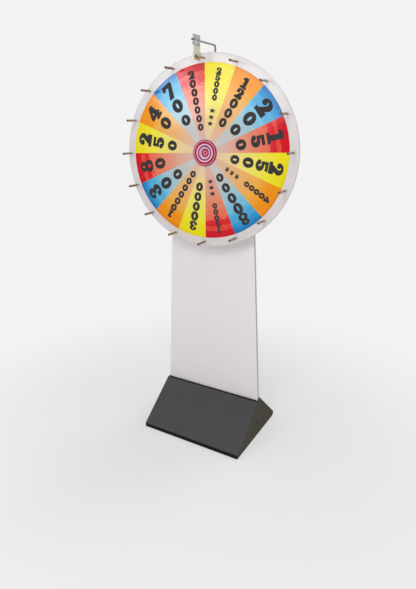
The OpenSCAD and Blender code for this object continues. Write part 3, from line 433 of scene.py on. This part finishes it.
def make_pegs():
    """Turned pegs with a domed darker end, two fine grooves and a small one at the collar with painted shade
    in them, and a pale collar on the disc.
    """
    metal, dark, pale = range(3)
    tip, root = PRINT_Y - PEG_LENGTH, PRINT_Y + PRINT_T
    r, stud_r, groove = 0.005, 0.003, 0.0005
    collar, stud_end = root - 0.0095, PRINT_Y + 0.0142
    dome = ((0.0, 0.0), (0.0022, 0.0001), (0.0038, 0.0006), (0.0046, 0.0014), (r, 0.0026))
    profile = [(radius, tip + down) for radius, down in dome]
    slots = [dark] * (len(dome) - 1)
    # Each groove's floor and falling wall take the dark finish: painted shade
    for y in (tip + 0.006, tip + 0.010):
        profile += [(r, y), (r - groove, y + 0.0004), (r - groove, y + 0.0009), (r, y + 0.0013)]
        slots += [metal, dark, dark, metal]
    # The small groove by the collar has its falling wall painted dark: painted shade
    profile += [(r, collar), (r - groove, collar + 0.0003), (r, collar + 0.0008), (r, root), (stud_r, root),
                (stud_r, stud_end), (0.0, stud_end)]
    slots += [metal, dark, pale, pale, metal, metal, metal]
    bm = bmesh.new()
    for i in range(SECTORS):
        a = i * SECTOR_ANGLE
        centre = (PEG_CIRCLE_R * math.sin(a), AXLE_Z + PEG_CIRCLE_R * math.cos(a))
        spin(bm, profile, steps=24, centre=centre, slot_of=lambda step, k: slots[k])
    piece("pegs_form", to_mesh(bm, "pegs_form"), "wheel",
          [MATERIALS["peg_metal"], MATERIALS["peg_end_and_groove_shade"], MATERIALS["peg_root"]], ["pegs"])


# Numbers: fat slab figures of the builder's own drawing, one unit high

def oval(cx, cy, rx, ry):
    return lambda x, y: (math.hypot((x - cx) / rx, (y - cy) / ry) - 1) * min(rx, ry)


def convex(*points):
    """Inside of a convex outline that runs counter-clockwise."""
    edges = []
    for (x0, y0), (x1, y1) in zip(points, points[1:] + points[:1]):
        length = math.hypot(x1 - x0, y1 - y0)
        edges.append((x0, y0, (y1 - y0) / length, (x0 - x1) / length))
    return lambda x, y: max((x - x0) * nx + (y - y0) * ny for x0, y0, nx, ny in edges)


def bar(x0, y0, x1, y1):
    return convex((x0, y0), (x1, y0), (x1, y1), (x0, y1))


def union(*forms):
    return lambda x, y: min(form(x, y) for form in forms)


def without(form, *holes):
    return lambda x, y: max(form(x, y), *(-hole(x, y) for hole in holes))


def star(cx, cy, outer, inner):
    """Five kites that share the middle."""
    ring = [(cx + (outer, inner)[i % 2] * math.sin(i * math.pi / 5),
             cy + (outer, inner)[i % 2] * math.cos(i * math.pi / 5)) for i in range(10)]
    return union(*(convex(ring[2 * i], ring[2 * i - 1], (cx, cy), ring[(2 * i + 1) % 10]) for i in range(5)))


FIGURES = {
    "0": (0.70, without(oval(0.35, 0.5, 0.35, 0.5), oval(0.35, 0.5, 0.10, 0.29))),
    "1": (0.62, union(bar(0.20, 0.0, 0.46, 1.0), bar(0.03, 0.0, 0.60, 0.15),
                      convex((0.02, 0.74), (0.24, 0.74), (0.24, 1.0), (0.20, 1.0), (0.02, 0.86)))),
    "2": (0.70, union(
        without(oval(0.35, 0.70, 0.33, 0.30), oval(0.31, 0.70, 0.12, 0.17), bar(-0.1, 0.30, 0.36, 0.66)),
        oval(0.16, 0.68, 0.14, 0.13),
        convex((0.02, 0.0), (0.34, 0.0), (0.68, 0.62), (0.40, 0.62)),
        bar(0.02, 0.0, 0.68, 0.20), bar(0.54, 0.0, 0.68, 0.32))),
    "3": (0.70, union(
        without(union(oval(0.34, 0.74, 0.30, 0.26), oval(0.35, 0.29, 0.34, 0.29)),
                oval(0.29, 0.75, 0.11, 0.14), oval(0.29, 0.29, 0.13, 0.16), bar(-0.1, 0.34, 0.29, 0.70)),
        oval(0.14, 0.75, 0.12, 0.12), oval(0.14, 0.25, 0.13, 0.13), bar(0.24, 0.46, 0.40, 0.60))),
    "4": (0.72, without(
        union(convex((0.0, 0.24), (0.46, 0.24), (0.62, 0.44), (0.62, 1.0), (0.40, 1.0), (0.0, 0.42)),
              bar(0.38, 0.0, 0.62, 1.0), bar(0.28, 0.0, 0.72, 0.13), bar(0.0, 0.24, 0.72, 0.42)),
        convex((0.19, 0.42), (0.38, 0.42), (0.38, 0.70)))),
    "5": (0.70, union(
        without(oval(0.35, 0.33, 0.34, 0.33), oval(0.29, 0.33, 0.12, 0.18), bar(-0.1, 0.30, 0.27, 0.62)),
        oval(0.15, 0.24, 0.14, 0.14), bar(0.08, 0.46, 0.24, 1.0), bar(0.08, 0.80, 0.64, 1.0),
        convex((0.20, 0.46), (0.36, 0.46), (0.36, 0.62), (0.20, 0.58)))),
    "7": (0.68, union(bar(0.02, 0.80, 0.66, 1.0), bar(0.02, 0.66, 0.15, 1.0),
                      convex((0.14, 0.0), (0.42, 0.0), (0.66, 0.82), (0.44, 0.82)))),
    "8": (0.70, without(union(oval(0.35, 0.74, 0.29, 0.26), oval(0.35, 0.29, 0.35, 0.29)),
                        oval(0.35, 0.75, 0.10, 0.13), oval(0.35, 0.28, 0.13, 0.15))),
    "*": (0.90, star(0.45, 0.48, 0.48, 0.21)),
}


def outlines(width, form):
    """Closed outlines of a figure, found where its form changes sign on a fine grid."""
    step, margin, bolder = 0.0231, 0.0613, 0.022
    columns, rows = int((width + 2 * margin) / step) + 2, int((1 + 2 * margin) / step) + 2
    value = {(i, j): form(i * step - margin, j * step - margin) - bolder
             for i in range(columns) for j in range(rows)}

    def crossing(a, b):
        t = value[a] / (value[a] - value[b])
        return tuple(((1 - t) * p + t * q) * step - margin for p, q in zip(a, b))

    joined, points = {}, {}
    for i in range(columns - 1):
        for j in range(rows - 1):
            corners = [(i, j), (i + 1, j), (i + 1, j + 1), (i, j + 1)]
            cut = []
            for a, b in zip(corners, corners[1:] + corners[:1]):
                if (value[a] < 0) != (value[b] < 0):
                    edge = (min(a, b), max(a, b))
                    points[edge] = crossing(*edge)
                    cut.append(edge)
            for a, b in zip(cut[::2], cut[1::2]):
                joined.setdefault(a, []).append(b)
                joined.setdefault(b, []).append(a)
    loops, seen = [], set()
    for start in joined:
        loop, at = [], start
        while at is not None and at not in seen:
            seen.add(at)
            loop.append(points[at])
            at = next((n for n in joined[at] if n not in seen), None)
        if len(loop) > 2:
            loops.append(loop)
    return loops


def figure_mesh(character):
    """A raised figure, centred, one unit high and one unit deep."""
    width, form = FIGURES[character]
    curve = bpy.data.curves.new("figure", "CURVE")
    curve.dimensions = "2D"
    curve.fill_mode = "BOTH"
    curve.extrude = 0.5
    for loop in outlines(width, form):
        spline = curve.splines.new("POLY")
        spline.points.add(len(loop) - 1)
        for point, (x, y) in zip(spline.points, loop):
            point.co = (x - width / 2, y - 0.5, 0, 1)
        spline.use_cyclic_u = True
    holder = bpy.data.objects.new("figure", curve)
    bpy.context.scene.collection.objects.link(holder)
    bpy.context.view_layer.update()
    mesh = bpy.data.meshes.new_from_object(holder.evaluated_get(bpy.context.evaluated_depsgraph_get()))
    bpy.data.objects.remove(holder)
    bpy.data.curves.remove(curve)
    return mesh


# What each sector says, clockwise from the top, and whether its figures are large
SECTOR_NUMBERS = [
    ("25000 ***", False), ("12000", False), ("200", True), ("150", True),
    ("2500", True), ("40000 ***", False), ("80000", True), ("75000 ***", False),
    ("30000", False), ("1000000", False), ("300", True), ("80", True),
    ("250", True), ("40", True), ("700", True), ("2000000", False),
]

# By the count of characters: radius of the first and last, their heights, and how much wider they are drawn
LARGE_FIGURES = {
    2: (0.306, 0.232, 0.066, 0.053, 1.14, 1.22), 3: (0.310, 0.165, 0.066, 0.044, 1.14, 1.32),
    4: (0.316, 0.138, 0.058, 0.038, 1.16, 1.32), 5: (0.322, 0.122, 0.050, 0.034, 1.18, 1.32)}
SMALL_FIGURES = {
    5: (0.320, 0.146, 0.041, 0.036, 1.22, 1.24), 7: (0.324, 0.108, 0.033, 0.028, 1.26, 1.26),
    9: (0.330, 0.122, 0.0245, 0.0215, 1.36, 1.30)}


def figure_places(text, large):
    """Radius of the middle, height and stretch of each figure of a number that reads from the rim inwards."""
    outer, inner, tall, low, wide, narrow = (LARGE_FIGURES if large else SMALL_FIGURES)[len(text)]
    for i, character in enumerate(text):
        t = i / (len(text) - 1)
        if character != " ":
            yield character, outer + (inner - outer) * t, tall + (low - tall) * t, wide + (narrow - wide) * t


def make_numbers():
    """The numbers of the sectors, cut from dark vinyl, tops towards the rim."""
    depth = 0.0003
    shapes = {}
    bm = bmesh.new()
    for sector, (text, large) in enumerate(SECTOR_NUMBERS):
        a = (sector + 0.5) * SECTOR_ANGLE
        out = Vector((math.sin(a), 0, math.cos(a)))
        right = Vector((math.cos(a), 0, -math.sin(a)))
        for character, radius, height, stretch in figure_places(text, large):
            if character not in shapes:
                shapes[character] = figure_mesh(character)
            place = out * radius + Vector((0, PRINT_Y, AXLE_Z))
            matrix = Matrix((
                (right.x * height * stretch, out.x * height, 0, place.x),
                (0, 0, -depth, place.y),
                (right.z * height * stretch, out.z * height, 0, place.z),
                (0, 0, 0, 1)))
            copy = shapes[character].copy()
            copy.transform(matrix)
            bm.from_mesh(copy)
            bpy.data.meshes.remove(copy)
    for mesh in shapes.values():
        bpy.data.meshes.remove(mesh)
    piece("wheel_numbers", to_mesh(bm, "wheel_numbers", 25), "wheel",
          [MATERIALS["number_vinyl"]])


def make_strap():
    """The strap as one soft tongue, held in the clamp and free below it, with cut round edges."""
    left, right = -0.0084, -0.0054
    front, back = -0.114, -0.059
    top, tip = 1.690, 1.620
    rows, columns = 28, 12
    rim = 0.0008
    bm = bmesh.new()
    rings = []
    for row in range(rows + 1):
        z = top + (tip - top) * row / rows
        thin = rim if row in (0, rows) else 0.0
        x0, x1 = left + thin, right - thin
        y0, y1 = front + thin, back - thin
        ring = [(x0, y0 + rim, z), (x0 + rim, y0, z), (x1 - rim, y0, z), (x1, y0 + rim, z)]
        ring += [(x1, y0 + rim + (y1 - y0 - 2 * rim) * c / columns, z) for c in range(1, columns + 1)]
        ring += [(x1 - rim, y1, z), (x0 + rim, y1, z), (x0, y1 - rim, z)]
        ring += [(x0, y1 - rim - (y1 - y0 - 2 * rim) * c / columns, z) for c in range(1, columns)]
        rings.append([bm.verts.new(p) for p in ring])
    for here, there in zip(rings, rings[1:]):
        for i in range(len(here)):
            k = (i + 1) % len(here)
            bm.faces.new((here[i], here[k], there[k], there[i]))
    bm.faces.new(rings[0])
    bm.faces.new(list(reversed(rings[-1])))
    strap = piece("strap_form", to_mesh(bm, "strap_form", 60), None,
                  [MATERIALS["strap_leather"]], ["strap_root", "clapper_strap"])
    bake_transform(strap)


def soften(name, cut_edge, bend=None, extra=(), slot_of=None):
    """A copy of a still node with rounded edges: small at cut edges, larger where two broad faces meet."""
    broad_from, sharp_from = 0.004, math.radians(25)
    slot = next(key for key, names in NODE_MATERIALS.items() if name in names)
    bm = bmesh.new()
    bm.from_mesh(NODES[name].data)
    bmesh.ops.remove_doubles(bm, verts=bm.verts, dist=2e-5)
    bmesh.ops.dissolve_limit(bm, angle_limit=math.radians(1.5), verts=bm.verts, edges=bm.edges)

    def is_broad(edge):
        return min(face.calc_area() / edge.calc_length() for face in edge.link_faces) > broad_from

    for radius, broad in ((bend, True), (cut_edge, False)):
        if not radius:
            continue
        edges = [e for e in bm.edges if len(e.link_faces) == 2 and e.calc_face_angle(0) > sharp_from
                 and (not bend or is_broad(e) == broad)]
        bmesh.ops.bevel(bm, geom=edges, offset=radius, offset_type="OFFSET", segments=3 if broad else 2,
                        profile=0.5, affect="EDGES", clamp_overlap=True)
    if slot_of:
        bm.normal_update()
        for face in bm.faces:
            face.material_index = slot_of(face.calc_center_median(), face.normal)
    piece(name + "_form", level_faces(to_mesh(bm, name + "_form", 60), 60), "stand",
          [MATERIALS[slot], *(MATERIALS[key] for key in extra)], [name])


make_disc()
make_print()
make_numbers()
make_cap()
make_pegs()
make_strap()
for node_name, cut_edge, bend in (
    ("base_tray", 0.0003, 0.0018), ("base_end_left", 0.0003, None), ("base_end_right", 0.0003, None),
    ("board", 0.0008, None), ("face_sheet", 0.0002, None), ("post", 0.0006, None),
    ("post_foot", 0.0006, None), ("post_cap", 0.0008, None), ("rod_clip_lower", 0.0006, None),
    ("rod_clip_upper", 0.0006, None), ("clapper_plate", 0.0003, None), ("clapper_bar", 0.0003, None),
    ("rod_end_cap", 0.0006, None),
):
    soften(node_name, cut_edge, bend)
# The cover's upward ledge faces take the near-black finish: painted shade of the gap in front of the board
ledge_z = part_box("base_cover")[1][2] - 0.001
soften("base_cover", 0.0003, 0.0015, extra=["ledge_gap_shade"],
       slot_of=lambda middle, normal: int(middle[2] > ledge_z and normal[2] > 0.9))


# Floor, light and camera

BACKDROP = srgb(243, 242, 243)
FLOOR_HALF = 30.0
WORLD_STRENGTH = 0.42
SHEEN_TINT = (0.82, 0.94, 1.0)

# Name, place, aim, diameter in metres and power in watts. The sheen lamps give reflections only.
LAMPS = [
    ("key", (0.42, -1.5, 2.55), (0.0, 0.0, 1.55), 0.9, 15.4),
    ("left", (-1.25, -2.1, 1.87), (0.0, 0.0, 1.45), 0.8, 6.0),
    ("low", (0.3, -2.8, 0.5), (0.0, 0.0, 0.30), 1.6, 12.2),
    ("rear", (0.9, 2.8, 2.4), (0.0, 0.0, 0.8), 2.0, 34.0),
    ("sheen", (-1.35, -2.1, 1.63), (-0.1, 0.0, 1.5), 0.46, 7.4),
    ("sheen_right", (-0.62, -2.1, 1.72), (0.1, 0.0, 1.5), 0.7, 7.5),
]


def seen_directly(nodes, links):
    """One where the camera, a reflection or a see-through surface looks, and nought for light."""
    path = nodes.new("ShaderNodeLightPath")
    answer = path.outputs["Is Camera Ray"]
    for ray in ("Is Glossy Ray", "Is Transmission Ray"):
        either = nodes.new("ShaderNodeMath")
        either.operation = "MAXIMUM"
        links.new(answer, either.inputs[0])
        links.new(path.outputs[ray], either.inputs[1])
        answer = either.outputs[0]
    return answer


def floor_finish():
    """Pale matt floor that keeps the shadow near the object and runs into the backdrop far from it."""
    near, far, least = 0.3, 1.6, 0.42
    graph = Graph("floor")
    grain = graph.noise(0.6, 3.0)
    graph.set(Base_Color=graph.ramp(grain, [(0.36, (246, 245, 246)), (0.64, (250, 249, 250))]))
    graph.set(Roughness=0.85)
    away = graph.add("VectorMath", "Value", {0: graph.place}, operation="LENGTH")
    share = graph.add("MapRange", 0, {"Value": away, "From Min": near, "From Max": far, "To Min": least},
                      interpolation_type="SMOOTHSTEP")
    seen = seen_directly(graph.nodes, graph.links)
    backdrop = graph.add("Emission", 0, {"Color": BACKDROP, "Strength": 1.0})
    mixed = graph.add("MixShader", 0, {
        0: graph.math("MULTIPLY", share, seen), 1: graph.shader.outputs[0], 2: backdrop})
    graph.links.new(mixed, graph.nodes["Material Output"].inputs["Surface"])
    return graph.material


def make_stage():
    """A wide flat floor."""
    h = FLOOR_HALF
    floor_mesh = bpy.data.meshes.new("floor")
    floor_mesh.from_pydata([(-h, -h, 0), (h, -h, 0), (h, h, 0), (-h, h, 0)], [], [(0, 1, 2, 3)])
    floor = bpy.data.objects.new("floor", floor_mesh)
    bpy.context.scene.collection.objects.link(floor)
    floor_mesh.materials.append(floor_finish())


def make_light():
    """A pale room that lights evenly and looks like the backdrop, and the lamps."""
    world = bpy.data.worlds.new("studio")
    bpy.context.scene.world = world
    world.use_nodes = True
    nodes, links = world.node_tree.nodes, world.node_tree.links
    sky = nodes["Background"]
    sky.inputs["Color"].default_value = (1.0, 1.0, 1.0, 1.0)
    sky.inputs["Strength"].default_value = WORLD_STRENGTH
    seen = nodes.new("ShaderNodeBackground")
    seen.inputs["Color"].default_value = BACKDROP
    choose = nodes.new("ShaderNodeMixShader")
    links.new(seen_directly(nodes, links), choose.inputs["Fac"])
    links.new(sky.outputs["Background"], choose.inputs[1])
    links.new(seen.outputs["Background"], choose.inputs[2])
    links.new(choose.outputs["Shader"], nodes["World Output"].inputs["Surface"])

    for name, place, aim, size, power in LAMPS:
        lamp = bpy.data.lights.new(name, "AREA")
        lamp.shape = "DISK"
        lamp.size = size
        lamp.energy = power
        obj = bpy.data.objects.new(name, lamp)
        if name.startswith("sheen"):
            lamp.color = SHEEN_TINT
            obj.visible_diffuse = False
        obj.location = place
        obj.rotation_euler = (Vector(aim) - Vector(place)).to_track_quat("-Z", "Y").to_euler()
        bpy.context.scene.collection.objects.link(obj)


def make_camera():
    """The photograph's camera, found from the sector edges, pegs, board and base."""
    width, height = 416, 589
    place = (1.0167, -1.9092, 1.3395)
    focal, centre = 499.45, (152.45, 236.98)
    yaw, pitch, roll = (math.radians(d) for d in (34.686, 11.662, -1.611))
    forward = Vector((-math.sin(yaw) * math.cos(pitch), math.cos(yaw) * math.cos(pitch), -math.sin(pitch)))
    level = Vector((math.cos(yaw), math.sin(yaw), 0))
    upright = level.cross(forward)
    right = math.cos(roll) * level + math.sin(roll) * upright
    up = -math.sin(roll) * level + math.cos(roll) * upright
    camera = bpy.data.cameras.new("camera")
    camera.sensor_width = 36.0
    camera.lens = focal * camera.sensor_width / height
    camera.shift_x = (width / 2 - centre[0]) / height
    camera.shift_y = (centre[1] - height / 2) / height
    camera.clip_start = 0.05
    obj = bpy.data.objects.new("camera", camera)
    bpy.context.scene.collection.objects.link(obj)
    matrix = Matrix((right, up, -forward)).transposed().to_4x4()
    matrix.translation = place
    obj.matrix_world = matrix
    bpy.context.scene.camera = obj


make_stage()
make_light()
make_camera()
bpy.context.scene.view_settings.view_transform = "Standard"
